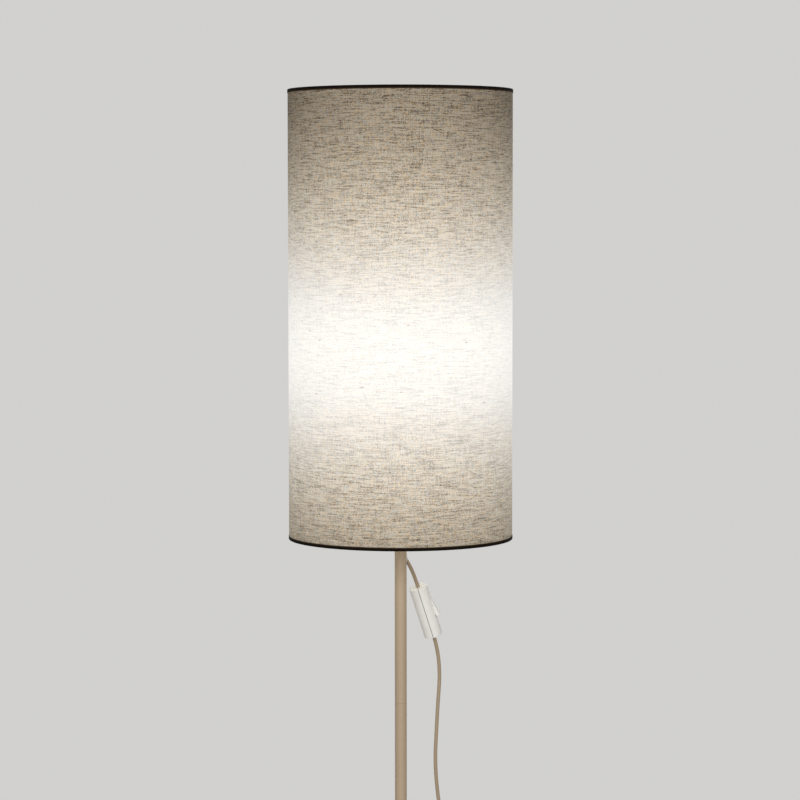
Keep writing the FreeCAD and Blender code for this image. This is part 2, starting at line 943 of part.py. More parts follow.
def switch_rocker():
    """Rocker with its two trunnions and the nose beneath, thrown as the photograph shows."""
    reach = rocker_reach()
    top = pivot_depth + rocker_rise
    low = 1.6
    hub = 2.6
    end_low = math.sqrt(reach ** 2 - low ** 2)
    side_angle = (math.atan2(end_low, low) + math.atan2(rocker_half_length, top)) / 2
    side_x = reach * math.cos(side_angle)
    side_z = reach * math.sin(side_angle)
    body = outline(
        (low, -end_low),
        ((side_x, -side_z), (top, -rocker_half_length)),
        (top, rocker_half_length),
        ((side_x, side_z), (low, end_low)),
        (low, hub),
        ((-hub, 0), (low, -hub)),
    ).extrude(V(0, rocker_width, 0))
    body.translate(V(0, -rocker_width / 2, 0))
    trunnions = trunnion_bar(trunnion_diameter / 2, rocker_width / 2 + trunnion_length)
    rocker = body.fuse([rocker_nose(), trunnions]).removeSplitter()
    rocker.rotate(ORIGIN, V(0, 1, 0), -rocker_throw / 2)
    rocker.translate(V(pivot_x(), 0, rocker_offset))
    return rocker


# ---------------------------------------------------------------- free cord
def upper_cord_points():
    """From the grommet down into the switch's top."""
    straight_out = 7.5
    bend_below_grommet = 22.1
    above_switch = 4.7
    return [
        outlet_point(outlet_reach),
        outlet_point(outlet_reach) + outlet_heading() * straight_out,
        outward(22.8, 0, grommet_centre_height - bend_below_grommet),
        switch_point(-above_switch),
        switch_point(cord_in_switch),
    ]


def hanging_cord_points():
    """From the switch's bottom down beside the stem to the floor behind the base."""
    below_switch = 20.0
    return [
        switch_point(switch_length - cord_in_switch),
        switch_point(switch_length + below_switch),
        outward(73.4, 0, 706.0),
        outward(69.4, 0, 668.0),
        outward(66.5, 0, 628.0),
        outward(63.9, 0, 590.0),
        outward(67.5, 0, 549.0),
        outward(75.2, -1, 505.0),
        outward(84.6, -4, 455.0),
        outward(95.5, -9, 402.0),
        outward(108.5, -15, 348.0),
        outward(120.0, -22, 294.0),
        outward(130.0, -29, 241.0),
        outward(139.0, -33, 190.0),
        outward(147.0, -36, 141.0),
        outward(152.0, -38, 96.0),
        outward(154.0, -37, 58.0),
        outward(153.5, -30, 28.0),
        outward(152.5, -13, 8.5),
        outward(coil_centre[0] - coil_outer_radius, 8, coil_low),
        coil_start(),
    ]


def coil_start():
    """Where the cord comes to the coil, one diameter before its first turn."""
    return outward(coil_centre[0] - coil_outer_radius, coil_centre[1] - cord_diameter, coil_low)


def coil_nodes():
    """Reach, height and side of the spiral at each half turn, from its outside in and out."""
    step = coil_pitch / 2
    inward = round(2 * coil_turns_in)
    out = round(2 * coil_turns_out)
    radii = [coil_outer_radius - step * i for i in range(inward + 1)]
    heights = [coil_low] * (inward + 1)
    radii += [radii[-1] + step * i for i in range(out + 1)]
    heights += [coil_high] * (out + 1)
    radii[inward] -= coil_climb_inset
    radii[inward + 1] -= coil_climb_inset
    side = -1
    nodes = []
    for radius, height in zip(radii, heights):
        nodes.append((coil_centre[0] + side * radius, height, side))
        side = -side
    return nodes


def coil_end():
    """Where the coil's last turn ends, one diameter straight on."""
    reach, height, _ = coil_nodes()[-1]
    return outward(reach, coil_centre[1] + cord_diameter, height)


def biarc(start, start_heading, end, end_heading):
    """Two arcs that meet smoothly between two points with given headings."""
    span = end - start
    both = start_heading + end_heading
    a = 2 * (1 - start_heading.dot(end_heading))
    b = 2 * span.dot(both)
    reach = (-b + math.sqrt(b * b + 4 * a * span.dot(span))) / (2 * a)
    first_apex = start + start_heading * reach
    last_apex = end - end_heading * reach
    joint = (first_apex + last_apex) / 2
    arcs = []
    for p, apex, q in ((start, first_apex, joint), (joint, last_apex, end)):
        chord_middle = (p + q) / 2
        half_turn = (apex - p).getAngle(q - p)
        share = math.tan(half_turn / 2) / math.tan(half_turn)
        middle = chord_middle + (apex - chord_middle) * share
        arcs.append(Part.Arc(p, middle, q).toShape())
    return arcs


def coil_edges():
    """The coil's centreline: half turns that spiral in, climb one layer and spiral out."""
    nodes = coil_nodes()
    points = [outward(reach, coil_centre[1], height) for reach, height, _ in nodes]
    along = outward(0, 1, 0)
    headings = [along * -side for _, _, side in nodes]
    edges = [Part.LineSegment(coil_start(), points[0]).toShape()]
    for i in range(len(nodes) - 1):
        edges += biarc(points[i], headings[i], points[i + 1], headings[i + 1])
    edges.append(Part.LineSegment(points[-1], coil_end()).toShape())
    return edges


def least_self_gap(edges):
    """The least gap between turns of the coil, measured on points along its centreline."""
    points = []
    travelled = []
    length = 0.0
    spacing = 2.0
    for edge in edges:
        count = max(2, int(edge.Length / spacing))
        for i in range(count):
            share = i / count
            parameter = edge.FirstParameter + share * (edge.LastParameter - edge.FirstParameter)
            points.append(edge.valueAt(parameter))
            travelled.append(length + share * edge.Length)
        length += edge.Length
    gap = math.inf
    for i, p in enumerate(points):
        for j in range(i + 1, len(points)):
            if travelled[j] - travelled[i] > 4 * cord_diameter:
                gap = min(gap, p.distanceToPoint(points[j]) - cord_diameter)
    return gap, length


def cord_coil():
    """The put-away length, wound into a neat coil on the floor."""
    edges = coil_edges()
    gap, length = least_self_gap(edges)
    print(f"cord coil: length {length:.1f}, least gap to itself {gap:.2f}")
    return swept(edges, cord_radius)


def tail_points():
    """From the coil down to the plug's axis."""
    end = coil_end()
    level = V(end.x, end.y, plug_axis_height)
    along = outward(0, 1, 0)
    leaves_coil = 8.0
    level_from = 24.0
    enters_sleeve = 32.0
    return [end, end + along * leaves_coil, level + along * level_from, level + along * enters_sleeve]


def cord_tie():
    """Strap round the coil's bundle of turns, at its far side from the stem."""
    nodes = coil_nodes()
    far = [reach - coil_centre[0] for reach, _, side in nodes if side > 0]
    slack = 0.4
    inside_turn = min(far) - cord_radius
    inner_low = math.sqrt(inside_turn ** 2 - (tie_width / 2) ** 2) - slack
    inner_high = max(far) + cord_radius + slack
    inner_top = coil_high + cord_radius + slack
    t = tie_thickness - fit_gap
    corner = 2.0
    nearly_along = 0.9
    span = inner_high - inner_low
    half = tie_width / 2
    outer = Part.makeBox(span + 2 * t, tie_width, inner_top + t, V(inner_low - t, -half, 0))
    hole = Part.makeBox(span, tie_width + 2, inner_top - t, V(inner_low, -half - 1, t))
    outer_edges = [e for e in outer.Edges if abs(e.tangentAt(e.FirstParameter).y) > nearly_along]
    inner_edges = [e for e in hole.Edges if abs(e.tangentAt(e.FirstParameter).y) > nearly_along]
    strap = outer.makeFillet(corner, outer_edges).cut(hole.makeFillet(corner - t, inner_edges))
    strap.rotate(ORIGIN, UP, cord_azimuth)
    strap.translate(outward(coil_centre[0], coil_centre[1], 0))
    return strap


# ---------------------------------------------------------------- plug
def place_plug(shape, ahead):
    """Moves a shape whose +X is the plug's way forward to its place behind the coil."""
    placed = shape.copy()
    placed.rotate(ORIGIN, UP, cord_azimuth + 90)
    placed.translate(tail_points()[-1] + outward(0, 1, 0) * ahead)
    return placed


def plug_relief():
    """Tapered, ringed sleeve where the cord enters the plug."""
    rings = 5
    slim = cord_radius + 0.7
    thick = plug_relief_diameter / 2
    pitch = plug_relief_length / rings
    groove_depth = 0.6
    groove_width = 1.0
    groove_side = 0.3
    steps = []
    for i in range(rings):
        here = slim + (thick - slim) * i / (rings - 1)
        x = i * pitch
        groove_to = x + pitch - groove_side
        groove_from = groove_to - groove_width
        steps += [(here, x), (here, groove_from - groove_side)]
        if i < rings - 1:
            steps += [(here - groove_depth, groove_from), (here - groove_depth, groove_to)]
    steps += [(thick, plug_relief_length), (0, plug_relief_length)]
    sleeve = turned((0, 0), *steps)
    sleeve.rotate(ORIGIN, V(0, 1, 0), 90)
    return place_plug(sleeve, 0)


def rounded_section(x, width, height, corner):
    """A rounded rectangle across the plug's way forward."""
    y = width / 2
    z = height / 2
    bend = corner * (1 - math.sin(math.radians(45)))
    arcs = []
    ends = []
    for sy, sz in ((1, 1), (-1, 1), (-1, -1), (1, -1)):
        on_side = V(x, sy * y, sz * (z - corner))
        on_top = V(x, sy * (y - corner), sz * z)
        middle = V(x, sy * (y - bend), sz * (z - bend))
        first, last = (on_side, on_top) if sy * sz > 0 else (on_top, on_side)
        arcs.append(Part.Arc(first, middle, last).toShape())
        ends.append((first, last))
    lines = [Part.LineSegment(ends[i][1], ends[(i + 1) % 4][0]).toShape() for i in range(4)]
    return Part.Wire([edge for pair in zip(arcs, lines) for edge in pair])


def plug_body():
    """Moulded grip that widens from the cord to the flat face with the pins."""
    mouth_corner = 4.0
    waist_corner = 5.0
    face_corner = 6.0
    waist_at = 0.35 * plug_body_length
    shoulder_at = 0.70 * plug_body_length
    shoulder_width = plug_width - 4.0
    sections = [
        rounded_section(0, *plug_mouth_size, mouth_corner),
        rounded_section(waist_at, *plug_waist_size, waist_corner),
        rounded_section(shoulder_at, shoulder_width, plug_height, face_corner),
        rounded_section(plug_body_length, plug_width, plug_height, face_corner),
    ]
    body = Part.makeLoft(sections, True, False)
    seat_depth = 0.2
    seat_radius = plug_relief_diameter / 2 + fit_gap
    seat = Part.makeCylinder(seat_radius, 2 * seat_depth, V(-seat_depth, 0, 0), V(1, 0, 0))
    return place_plug(body.cut(seat), plug_relief_length)


def plug_pins():
    """Two round pins with rounded tips, side by side."""
    r = plug_pin_diameter / 2
    tip = 1.2
    bend = tip * (1 - math.sin(math.radians(45)))
    pins = []
    for side in (-1, 1):
        pin = turned(
            (0, fit_gap),
            (r, fit_gap),
            (r, plug_pin_length - tip),
            ((r - bend, plug_pin_length - bend), (r - tip, plug_pin_length)),
            (0, plug_pin_length),
        )
        pin.rotate(ORIGIN, V(0, 1, 0), 90)
        pin.translate(V(0, side * plug_pin_spacing / 2, 0))
        pins.append(pin)
    return place_plug(Part.makeCompound(pins), plug_relief_length + plug_body_length)


# ---------------------------------------------------------------- the lamp
def main():
    os.makedirs("parts", exist_ok=True)
    save("base_pad", base_pad())
    save("base_plate", base_plate())
    save("base_screw", base_screw())

    save("stem_lower_tube", stem_tube(stem_foot, lower_joint))
    save("stem_middle_tube", stem_tube(lower_joint, upper_joint))
    save("stem_upper_tube", stem_tube(upper_joint, stem_top).cut(outlet_hole()))
    save("foot_insert", threaded_insert(stem_foot, stem_foot + foot_insert_length, screw_diameter))
    joints = (("lower", lower_joint), ("upper", upper_joint))
    for name, joint in joints:
        save(f"{name}_joint_insert_below", threaded_insert(joint - insert_length, joint, stud_diameter))
        save(f"{name}_joint_insert_above", threaded_insert(joint, joint + insert_length, stud_diameter))
        save(f"{name}_joint_stud", joint_stud(joint))
    save("top_insert", threaded_insert(stem_top - insert_length, stem_top, nipple_diameter))

    save("holder_nipple", holder_nipple())
    save("holder_cap", holder_cap())
    save("holder_core", holder_core())
    save("holder_centre_contact", centre_contact())
    save("holder_side_contact", side_contact())
    save("holder_skirt", holder_skirt())
    save("holder_wires", holder_wires())
    save("shade_lower_ring_nut", shade_ring_nut(fitter_foot - ring_nut_height - fit_gap))
    save("shade_upper_ring_nut", shade_ring_nut(fitter_foot + fitter_thickness + fit_gap))

    save("bulb_tip", bulb_tip())
    save("bulb_insulator", bulb_insulator())
    save("bulb_screw_cap", bulb_screw_cap())
    save("bulb_body", bulb_body())
    save("bulb_globe", bulb_globe())

    save("shade_linen", drum(shade_radius, linen_thickness))
    save("shade_lining", drum(lining_radius, lining_thickness))
    save("shade_top_trim", shade_trim(shade_top, -1))
    save("shade_bottom_trim", shade_trim(shade_above_floor, 1))
    save("shade_top_ring", shade_ring(shade_top - wire_radius))
    save("shade_bottom_ring", shade_ring(bottom_ring_height()))
    save("shade_fitter_ring", fitter_ring())
    save("shade_arms", shade_arms())

    save("cord_grommet", cord_grommet())
    save("cord_in_stem", cord_in_stem())
    save("cord_upper", cord_tube(upper_cord_points(), "upper cord"))
    save("switch_front_shell", place_switch(switch_front_shell()))
    save("switch_back_shell", place_switch(switch_back_shell()))
    save("switch_rocker", place_switch(switch_rocker()))
    save("switch_terminals", place_switch(switch_terminals()))
    save("switch_leaf", place_switch(switch_leaf()))
    save("cord_hanging", cord_tube(hanging_cord_points(), "hanging cord"))
    save("cord_coil", cord_coil())
    save("cord_tail", cord_tube(tail_points(), "cord tail"))
    save("cord_tie", cord_tie())
    save("plug_relief", plug_relief())
    save("plug_body", plug_body())
    save("plug_pins", plug_pins())

    pivot = place_switch(Part.Vertex(pivot_x(), 0, rocker_offset)).Point
    beside = place_switch(Part.Vertex(pivot_x(), 1, rocker_offset)).Point
    print("rocker pivot", pivot, "axis", beside - pivot)
    print("switch top", switch_point(0), "bottom", switch_point(switch_length))


main()
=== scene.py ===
# %% [markdown]
# # Dressing a column floor lamp
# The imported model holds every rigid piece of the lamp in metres, with the floor at zero and the stem
# on the vertical axis. This lesson gives those pieces their finish, and remakes the soft and fine
# ones: the linen of the shade, the tapes on its edges and the cord. Each step first says what the
# real thing is.

# %% Load the frame
import json
import math

import bpy
from mathutils import Matrix, Vector


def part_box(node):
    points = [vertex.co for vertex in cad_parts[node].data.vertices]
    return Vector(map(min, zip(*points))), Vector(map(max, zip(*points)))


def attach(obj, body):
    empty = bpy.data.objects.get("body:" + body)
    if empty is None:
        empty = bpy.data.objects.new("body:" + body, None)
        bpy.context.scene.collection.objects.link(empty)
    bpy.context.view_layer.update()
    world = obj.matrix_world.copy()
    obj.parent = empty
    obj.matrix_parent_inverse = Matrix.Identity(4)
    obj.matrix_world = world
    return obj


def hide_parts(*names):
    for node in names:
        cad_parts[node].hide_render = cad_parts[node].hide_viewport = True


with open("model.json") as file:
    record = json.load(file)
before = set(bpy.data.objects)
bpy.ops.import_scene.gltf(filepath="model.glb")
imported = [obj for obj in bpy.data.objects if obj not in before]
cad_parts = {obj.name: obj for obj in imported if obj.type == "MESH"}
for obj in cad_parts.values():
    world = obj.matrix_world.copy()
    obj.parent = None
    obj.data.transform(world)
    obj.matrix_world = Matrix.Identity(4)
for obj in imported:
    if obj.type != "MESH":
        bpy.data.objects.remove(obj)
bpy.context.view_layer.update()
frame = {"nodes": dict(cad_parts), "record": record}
nodes = frame["nodes"]
scene = bpy.context.scene

# %% [markdown]
# ## The camera
# The camera stands far off and looks almost level, so the shade's two rims are flat ellipses. A long
# lens gives that look. Its focal length follows from the picture's width in pixels, and the small
# roll sets the horizon.

# %% Camera
picture_pixels = 800
focal_pixels = 2831.6
sensor_width = 36.0
camera_place = Vector((0.0, -3.7915, 1.3381))
camera_tilt = -0.06643
camera_roll = -0.001
centre_shift_pixels = 0.5


def add_camera():
    """A camera that looks along +Y, a little downwards."""
    data = bpy.data.cameras.new("camera")
    data.sensor_width = sensor_width
    data.lens = focal_pixels / picture_pixels * sensor_width
    data.shift_x = -centre_shift_pixels / picture_pixels
    camera = bpy.data.objects.new("camera", data)
    scene.collection.objects.link(camera)
    level = Matrix.Rotation(math.pi / 2 + camera_tilt, 4, "X")
    camera.matrix_world = Matrix.Translation(camera_place) @ level @ Matrix.Rotation(camera_roll, 4, "Z")
    scene.camera = camera
    return camera


camera = add_camera()
print(f"lens {camera.data.lens:.1f} mm")

# %% [markdown]
# ## The cord's route
# The cord leaves the stem through a slanted bush, runs into a switch and hangs from it to the floor
# behind the base, where its spare length is wound into a coil. A cord is one smooth bent line, so it
# is one NURBS spline of order 3 on few points: such a curve touches the middle of each run between
# them and never kinks. The route lies in an upright plane through the stem, so a point is given by
# its reach, side step and height.

# %% Points in the cord's plane
cord_azimuth = math.radians(43.0)
cord_diameter = 0.005


def outward(reach, side, height):
    """A point by its reach from the stem's axis in the cord's plane, its side step and its height."""
    c, s = math.cos(cord_azimuth), math.sin(cord_azimuth)
    return Vector((reach * c - side * s, reach * s + side * c, height))


outlet_drop = math.radians(50.0)
outlet_reach = 0.0096
outlet_corner_height = 0.8814
outlet_way = outward(math.cos(outlet_drop), 0, -math.sin(outlet_drop))
outlet = outward(outlet_reach, 0, outlet_corner_height - outlet_reach * math.tan(outlet_drop))
switch_tilt = math.radians(22.9)
switch_length = 0.074
switch_top_reach, switch_top_height = 0.0321, 0.8306
switch_down = outward(math.sin(switch_tilt), 0, -math.cos(switch_tilt))


def in_switch(down):
    """A point on the switch's axis, counted down from its top face."""
    return outward(switch_top_reach, 0, switch_top_height) + switch_down * down


# %% [markdown]
# ## The coil
# Spare cord is wound for storage: three turns in on the floor, one half turn that climbs a layer, and
# two and a half turns out on top. Each half turn is a half circle, a little smaller or larger than
# the last, so the coil is worked out by a loop. An order 3 spline runs inside its control points, so
# they stand slightly further out.

# %% Coil points
coil_reach, coil_side = 0.1891, 0.033
coil_radius, coil_pitch = 0.0371, 0.0057
climb_inset = 0.0007
coil_low = 0.0033
half_turns_in, half_turns_out = 6, 5
points_per_half_turn = 8


def coil_stations():
    """Radius and height at each half turn, from the outside in, up a layer and out again."""
    step = coil_pitch / 2
    inner = coil_radius - half_turns_in * step
    stations = [(coil_radius - step * i, coil_low) for i in range(half_turns_in)]
    stations.append((inner - climb_inset, coil_low))
    stations.append((inner - climb_inset, coil_low + coil_pitch))
    stations += [(inner + step * i, coil_low + coil_pitch) for i in range(1, half_turns_out + 1)]
    return stations


def coil_points():
    """Control points of all the half circles, in order."""
    points = []
    half_step = math.pi / points_per_half_turn / 2
    way = -1
    stations = coil_stations()
    for (first, low), (last, high) in zip(stations, stations[1:]):
        radius = (first + last) / 2 / math.cos(half_step)
        centre = coil_reach - way * (last - first) / 2
        for i in range(points_per_half_turn):
            turn = (2 * i + 1) * half_step
            height = low + (high - low) * (1 - math.cos(turn)) / 2
            reach = centre + way * radius * math.cos(turn)
            points.append(outward(reach, coil_side - way * radius * math.sin(turn), height))
        way = -way
    return points, way


wound, last_way = coil_points()
print(f"{len(wound)} control points in the coil")

# %% Both cords
coil_end = outward(coil_reach + last_way * coil_stations()[-1][0], coil_side, coil_low + coil_pitch)
plug_height = 0.007
cord_in_case = 0.006
cord_on = outward(0, 1, 0)


def flat(point, height):
    """The same place at another height."""
    return Vector((point.x, point.y, height))


upper_route = [
    outlet,
    outlet + outlet_way * 0.0075,
    outward(0.0228, 0, 0.8509),
    in_switch(-0.0047),
    in_switch(cord_in_case),
]
hanging_route = [
    in_switch(switch_length - cord_in_case),
    in_switch(switch_length + 0.020),
    outward(0.0734, 0, 0.706),
    outward(0.0694, 0, 0.668),
    outward(0.0665, 0, 0.628),
    outward(0.0639, 0, 0.590),
    outward(0.0675, 0, 0.549),
    outward(0.0752, -0.001, 0.505),
    outward(0.0846, -0.004, 0.455),
    outward(0.0955, -0.009, 0.402),
    outward(0.1085, -0.015, 0.348),
    outward(0.1200, -0.022, 0.294),
    outward(0.1300, -0.029, 0.241),
    outward(0.1390, -0.033, 0.190),
    outward(0.1470, -0.036, 0.141),
    outward(0.1520, -0.038, 0.096),
    outward(0.1540, -0.037, 0.058),
    outward(0.1535, -0.030, 0.028),
    outward(0.1525, -0.013, 0.0085),
    outward(0.1520, 0.008, coil_low),
    outward(0.1520, 0.028, coil_low),
]
tail_route = [
    coil_end + cord_on * 0.005,
    coil_end + cord_on * 0.013,
    flat(coil_end, plug_height) + cord_on * 0.029,
    flat(coil_end, plug_height) + cord_on * 0.037,
]


def cord_curve(name, points):
    """A round cord on one open spline through the given control points."""
    data = bpy.data.curves.new(name, "CURVE")
    data.dimensions = "3D"
    spline = data.splines.new("NURBS")
    spline.points.add(len(points) - 1)
    for knot, point in zip(spline.points, points):
        knot.co = (*point, 1.0)
        knot.radius = cord_diameter / 2
    spline.order_u = 3
    spline.use_endpoint_u = True
    data.resolution_u = 6
    data.bevel_depth = 1.0
    data.bevel_resolution = 5
    data.use_fill_caps = True
    cord = bpy.data.objects.new(name, data)
    scene.collection.objects.link(cord)
    return cord


upper_cord = cord_curve("cord_to_switch", upper_route)
lower_cord = cord_curve("cord_to_plug", hanging_route + wound + tail_route)
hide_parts("cord_upper")
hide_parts("cord_hanging", "cord_coil", "cord_tail")
for cord in (upper_cord, lower_cord):
    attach(cord, "lamp")

# %% [markdown]
# ## Light and background
# The lamp is shown in plain soft light, at a level where a colour renders about as it is written. A
# grey world gives a quarter of that from all sides, and three large soft lamps the rest, most of it
# from the front. The camera, mirrors and glass see a pale plain backdrop instead of that world, by
# the kind of ray.


# %% Node helpers
class Socket:
    """One value in a node tree. Python's operators on it add the maths nodes."""

    def __init__(self, tree, socket):
        self.tree = tree
        self.socket = socket

    def maths(self, operation, *values):
        return self.tree.add("ShaderNodeMath", {"operation": operation}, dict(enumerate(values)))

    def __add__(self, other):
        return self.maths("ADD", self, other)

    def __sub__(self, other):
        return self.maths("SUBTRACT", self, other)

    def __rsub__(self, other):
        return self.maths("SUBTRACT", other, self)

    def __mul__(self, other):
        return self.maths("MULTIPLY", self, other)

    def __truediv__(self, other):
        return self.maths("DIVIDE", self, other)

    def __rtruediv__(self, other):
        return self.maths("DIVIDE", other, self)

    def __pow__(self, other):
        return self.maths("POWER", self, other)

    __radd__ = __add__
    __rmul__ = __mul__

    def least(self, other):
        return self.maths("MINIMUM", self, other)

    def most(self, other):
        return self.maths("MAXIMUM", self, other)

    def floor(self):
        return self.maths("FLOOR", self)

    def sine(self):
        return self.maths("SINE", self)

    def cosine(self):
        return self.maths("COSINE", self)

    def size(self):
        return self.maths("ABSOLUTE", self)

    def between(self, low, high):
        """0 below low, 1 above high, and a smooth rise between them."""
        values = {"Value": self, "From Min": low, "From Max": high}
        return self.tree.add("ShaderNodeMapRange", {"interpolation_type": "SMOOTHSTEP"}, values)


class Tree:
    """A node tree with one method that adds any node."""

    def __init__(self, tree):
        self.tree = tree
        tree.nodes.clear()

    def add(self, kind, settings=None, values=None, output=0):
        """Makes a node, sets it up, and gives back one of its outputs."""
        made = self.tree.nodes.new(kind)
        for name, setting in (settings or {}).items():
            setattr(made, name, setting)
        for name, value in (values or {}).items():
            socket = made.inputs[name]
            if isinstance(value, Socket):
                self.tree.links.new(value.socket, socket)
            elif isinstance(value, tuple) and len(value) < len(socket.default_value):
                socket.default_value = (*value, 1.0)
            else:
                socket.default_value = value
        return Socket(self, made.outputs[output] if len(made.outputs) else None)

    def mix(self, factor, first, second):
        """A colour between two others."""
        values = {0: factor, 6: first, 7: second}
        return self.add("ShaderNodeMix", {"data_type": "RGBA", "clamp_factor": True}, values, 2)

    def split(self, vector):
        """The three numbers of a vector."""
        return [self.add("ShaderNodeSeparateXYZ", None, {"Vector": vector}, i) for i in range(3)]

    def join(self, x, y, z):
        """A vector from three numbers."""
        return self.add("ShaderNodeCombineXYZ", None, {"X": x, "Y": y, "Z": z})


# %% World, floor and lamps
backdrop_colour = (0.64, 0.635, 0.62)
floor_colour = (0.84, 0.835, 0.82)
world_level = 0.25
floor_radius = 2.3
floor_fade_from = 1.0
floor_corners = 72


def light_world():
    """Even grey light, and a pale backdrop for the rays that look at it."""
    world = bpy.data.worlds.new("studio")
    scene.world = world
    world.use_nodes = True
    tree = Tree(world.node_tree)
    rays = [tree.add("ShaderNodeLightPath", None, None, name) for name in
            ("Is Camera Ray", "Is Glossy Ray", "Is Transmission Ray")]
    seen = rays[0].most(rays[1]).most(rays[2])
    light = tree.add("ShaderNodeBackground", None, {"Color": (1.0, 1.0, 1.0), "Strength": world_level})
    backdrop = tree.add("ShaderNodeBackground", None, {"Color": backdrop_colour, "Strength": 1.0})
    both = tree.add("ShaderNodeMixShader", None, {0: seen, 1: light, 2: backdrop})
    tree.add("ShaderNodeOutputWorld", None, {"Surface": both})


def floor_finish():
    """A pale matt floor that fades into the backdrop towards its rim."""
    made = bpy.data.materials.new("floor")
    made.use_nodes = True
    tree = Tree(made.node_tree)
    x, y, _ = tree.split(tree.add("ShaderNodeTexCoord", None, None, "Object"))
    away = (x * x + y * y) ** 0.5
    fade = away.between(floor_fade_from, floor_radius)
    matt = tree.add("ShaderNodeBsdfDiffuse", None, {"Color": floor_colour})
    clear = tree.add("ShaderNodeBsdfTransparent")
    both = tree.add("ShaderNodeMixShader", None, {0: fade, 1: matt, 2: clear})
    tree.add("ShaderNodeOutputMaterial", None, {"Surface": both})
    return made


def add_floor():
    """A round floor, marked as stage."""
    turns = [math.radians(360 / floor_corners * i) for i in range(floor_corners)]
    rim = [(floor_radius * math.cos(turn), floor_radius * math.sin(turn), 0.0) for turn in turns]
    mesh = bpy.data.meshes.new("floor")
    mesh.from_pydata(rim, [], [list(range(len(rim)))])
    floor = bpy.data.objects.new("floor", mesh)
    floor.data.materials.append(floor_finish())
    scene.collection.objects.link(floor)


def add_lamp(name, place, aim, share, size):
    """A square soft lamp that adds a share of the full level where it is aimed."""
    data = bpy.data.lights.new(name, "AREA")
    data.size = size
    away = Vector(place) - Vector(aim)
    data.energy = share * (math.pi * away.length) ** 2
    lamp = bpy.data.objects.new(name, data)
    lamp.matrix_world = Matrix.Translation(place) @ away.to_track_quat("Z", "Y").to_matrix().to_4x4()
    lamp.visible_camera = False
    scene.collection.objects.link(lamp)


middle = (0.0, 0.0, 0.8)
light_world()
add_floor()
add_lamp("front_left", (-0.8, -4.7, 2.4), middle, 0.42, 2.0)
add_lamp("front_right", (1.0, -4.6, 1.9), middle, 0.28, 2.0)
add_lamp("behind", (0.8, 4.4, 2.8), middle, 0.36, 2.6)
scene.view_settings.view_transform = "Standard"

# %% [markdown]
# ## Plain finishes
# Paint, moulded plastic, porcelain and turned metal differ in colour, gloss and in how fine their
# skin is. None of them is one flat colour: paint has a fine orange peel, moulded plastic the grain of
# its mould, turned metal the lines of the tool. One function makes them all from a few numbers, on
# coordinates in metres.


# %% Finish helpers
def srgb(red, green, blue):
    """A colour from 0 to 255, as read from a screen, turned into linear light."""
    def linear(value):
        share = value / 255
        return share / 12.92 if share <= 0.04045 else ((share + 0.055) / 1.055) ** 2.4
    return linear(red), linear(green), linear(blue)


def new_finish(name):
    """An empty material and its tree."""
    made = bpy.data.materials.new(name)
    made.use_nodes = True
    return made, Tree(made.node_tree)


def noise(tree, vector, scale, detail=2.0):
    """Soft random grain. Scale counts its lumps in a metre, or in a unit of the vector."""
    values = {"Vector": vector, "Scale": scale, "Detail": detail}
    return tree.add("ShaderNodeTexNoise", None, values)


def relief(tree, height, distance):
    """A bump from a height of 0 to 1, as deep as the distance."""
    return tree.add("ShaderNodeBump", None, {"Height": height, "Strength": 1.0, "Distance": distance})


def close_finish(tree, **sockets):
    """The surface shader, with its sockets given by name."""
    values = {name.replace("_", " "): value for name, value in sockets.items()}
    surface = tree.add("ShaderNodeBsdfPrincipled", None, values)
    tree.add("ShaderNodeOutputMaterial", None, {"Surface": surface})


def shade_of(colour, share):
    """The same colour, lighter or darker."""
    return tuple(min(1.0, part * share) for part in colour)


broad_lumps = 35.0
darkest, lightest = 0.93, 1.06


def waver(tree, place, colour, roughness, grain):
    """Fine lumps, and a colour and a roughness that waver with them and with broad ones."""
    fine = noise(tree, place, 1 / grain)
    broad = noise(tree, place, broad_lumps)
    tone = tree.mix(broad * 0.6 + fine * 0.4, shade_of(colour, darkest), shade_of(colour, lightest))
    return fine, tone, broad * 0.12 + fine * 0.06 + (roughness - 0.09)


def plain_finish(name, colour, roughness, grain, depth, metallic=0.0, coat=0.0, turned=0.0):
    """A finish that wavers a little. Grain is its lumps' size and turned the pitch of a tool's lines."""
    made, tree = new_finish(name)
    place = tree.add("ShaderNodeTexCoord", None, None, "Object")
    fine, tone, gloss = waver(tree, place, colour, roughness, grain)
    height = fine
    if turned:
        _, _, z = tree.split(place)
        height = fine * 0.4 + (z * (2 * math.pi / turned)).sine() * 0.3 + 0.3
    close_finish(
        tree,
        Base_Color=tone,
        Roughness=gloss,
        Metallic=metallic,
        Coat_Weight=coat,
        Coat_Roughness=0.12,
        Normal=relief(tree, height, depth),
    )
    return made


